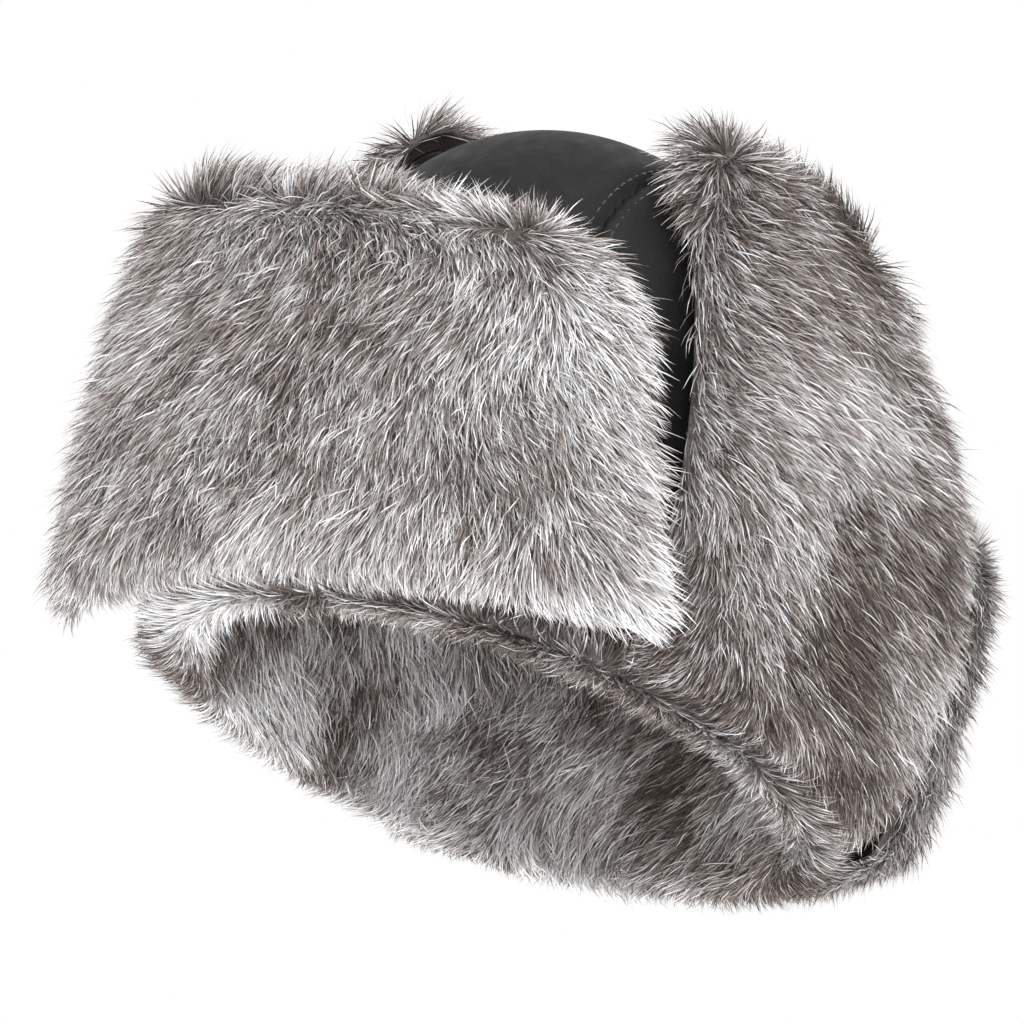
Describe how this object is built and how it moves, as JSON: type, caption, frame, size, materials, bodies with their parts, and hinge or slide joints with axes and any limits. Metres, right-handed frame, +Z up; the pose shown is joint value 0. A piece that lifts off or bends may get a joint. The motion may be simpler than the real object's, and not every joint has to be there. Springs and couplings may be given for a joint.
{
  "type": "trapper hat",
  "caption": "Fur trapper hat with a leather crown, fur inside the rim, and a front flap, ear flaps and neck flap of fur that are turned up.",
  "frame": {"origin": "middle of the hat's footprint, in the plane that the rim rests on", "axes": "+Z up through the crown, -Y to the front flap, +X to the wearer's left"},
  "size_m": [0.2276, 0.2835, 0.1799],
  "materials": {
    "leather": "matt smooth black",
    "fur": "grey-brown rabbit fur with pale tips",
    "interlining": "stiff woven canvas",
    "wadding": "loose white polyester wadding",
    "tape": "ribbed woven tape",
    "satin": "quilted satin",
    "cord": "braided cord"
  },
  "bodies": {
    "crown": {"crown_centre_panel": "leather", "crown_left_panel": "leather", "crown_right_panel": "leather", "crown_wadding": "wadding", "rim_tape": "tape", "quilted_lining": "satin", "inner_fur_front": "fur", "inner_fur_back": "fur", "tie_knot": "cord", "left_tie_cord": "cord", "right_tie_cord": "cord"},
    "front_flap": {"front_flap_leather": "leather", "front_flap_interlining": "interlining", "front_flap_fur": "fur"},
    "left_ear_flap": {"left_ear_flap_leather": "leather", "left_ear_flap_interlining": "interlining", "left_ear_flap_fur": "fur"},
    "right_ear_flap": {"right_ear_flap_leather": "leather", "right_ear_flap_interlining": "interlining", "right_ear_flap_fur": "fur"},
    "neck_flap": {"neck_flap_leather": "leather", "neck_flap_interlining": "interlining", "neck_flap_fur": "fur"}
  },
  "joints": [
    {"name": "front_flap_fold", "type": "hinge", "parent": "crown", "child": "front_flap", "pos_m": [0, -0.1123, -0.0006], "axis": [1, 0, 0], "range_deg": [0, 165]},
    {"name": "neck_flap_fold", "type": "hinge", "parent": "crown", "child": "neck_flap", "pos_m": [0, 0.1123, -0.0006], "axis": [-1, 0, 0], "range_deg": [0, 160]},
    {"name": "left_ear_flap_fold", "type": "hinge", "parent": "crown", "child": "left_ear_flap", "pos_m": [0.0923, 0, -0.0006], "axis": [0, 1, 0], "range_deg": [0, 165]},
    {"name": "right_ear_flap_fold", "type": "hinge", "parent": "crown", "child": "right_ear_flap", "pos_m": [-0.0923, 0, -0.0006], "axis": [0, -1, 0], "range_deg": [0, 165]}
  ],
  "couplings": [
    {"joint": "left_ear_flap_fold", "follows": "neck_flap_fold", "ratio": 1},
    {"joint": "right_ear_flap_fold", "follows": "neck_flap_fold", "ratio": 1}
  ]
}
